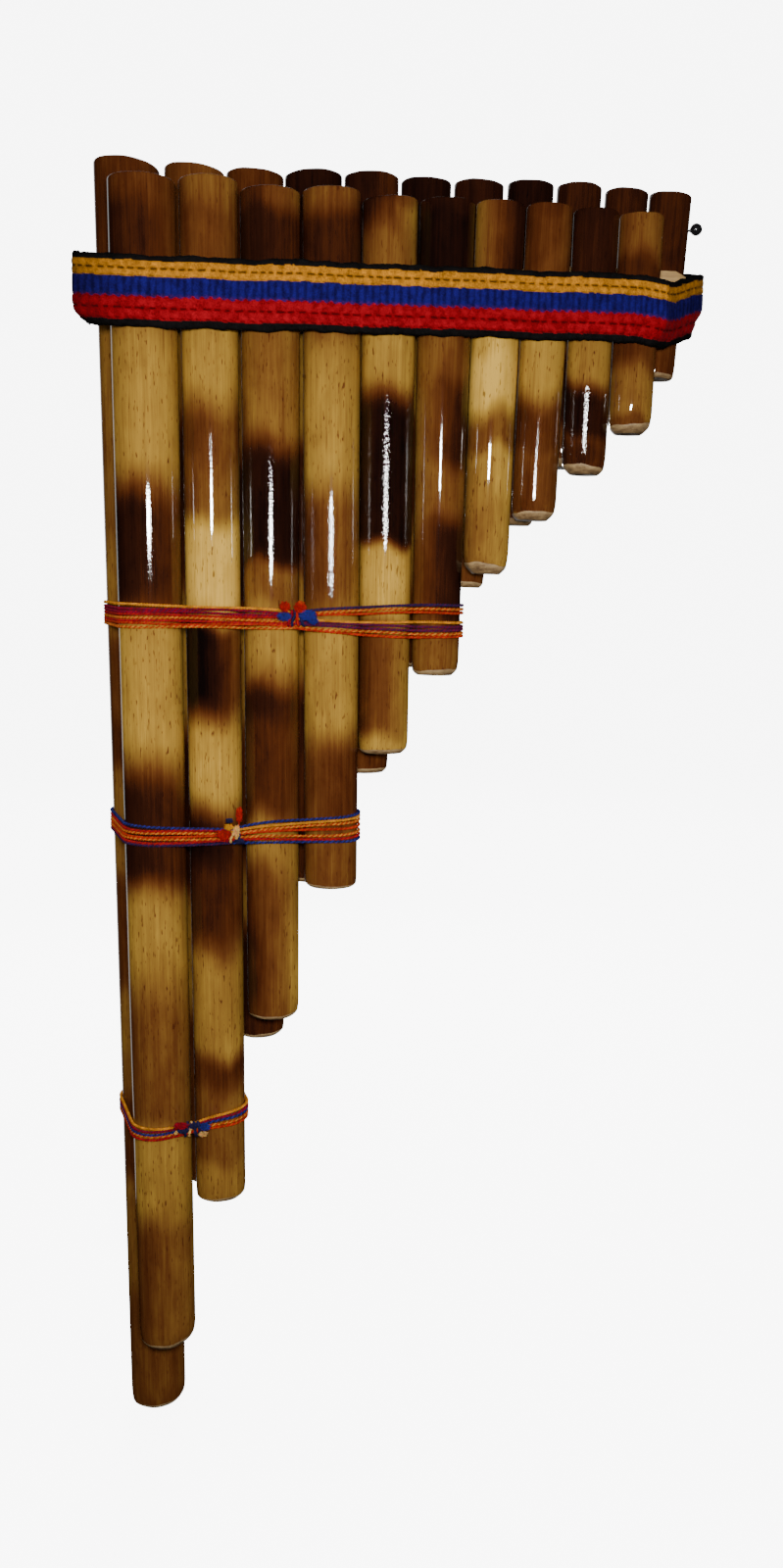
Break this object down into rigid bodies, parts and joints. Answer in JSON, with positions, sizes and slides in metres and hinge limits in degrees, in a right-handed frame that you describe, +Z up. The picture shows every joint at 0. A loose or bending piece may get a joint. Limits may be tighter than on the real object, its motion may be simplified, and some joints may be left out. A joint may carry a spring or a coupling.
{
  "type": "pan flute",
  "caption": "Double-row bamboo pan flute: graded stopped pipes in two rows, tied by a striped woven band over cane splints and by cord lashings.",
  "frame": {"origin": "under the middle of the flute's bounding box, level with the foot of the longest pipe", "axes": "+Z up along the pipes to the mouths, +X from the longest pipes to the shortest, +Y from the front row to the back row"},
  "size_m": [0.2131, 0.0539, 0.4425],
  "materials": {
    "scorched_bamboo": "lacquered, gloss",
    "cane": "dry, satin",
    "woven_fabric": "woven, matt",
    "lashing_cord": "twisted, satin",
    "pin_steel": "bright",
    "pin_enamel": "gloss"
  },
  "bodies": {
    "root": {"pipe_back_01": "scorched_bamboo", "pipe_back_02": "scorched_bamboo", "pipe_back_03": "scorched_bamboo", "pipe_back_04": "scorched_bamboo", "pipe_back_05": "scorched_bamboo", "pipe_back_06": "scorched_bamboo", "pipe_back_07": "scorched_bamboo", "pipe_back_08": "scorched_bamboo", "pipe_back_09": "scorched_bamboo", "pipe_back_10": "scorched_bamboo", "pipe_back_11": "scorched_bamboo", "pipe_front_01": "scorched_bamboo", "pipe_front_02": "scorched_bamboo", "pipe_front_03": "scorched_bamboo", "pipe_front_04": "scorched_bamboo", "pipe_front_05": "scorched_bamboo", "pipe_front_06": "scorched_bamboo", "pipe_front_07": "scorched_bamboo", "pipe_front_08": "scorched_bamboo", "pipe_front_09": "scorched_bamboo", "pipe_front_10": "scorched_bamboo", "splint_middle": "cane", "splint_front": "cane", "splint_rear": "cane", "woven_band": "woven_fabric", "lashing_upper": "lashing_cord", "knot_upper": "lashing_cord", "lashing_middle": "lashing_cord", "knot_middle": "lashing_cord", "lashing_lower": "lashing_cord", "knot_lower": "lashing_cord", "pin_shaft": "pin_steel", "pin_ball": "pin_enamel"}
  },
  "joints": []
}
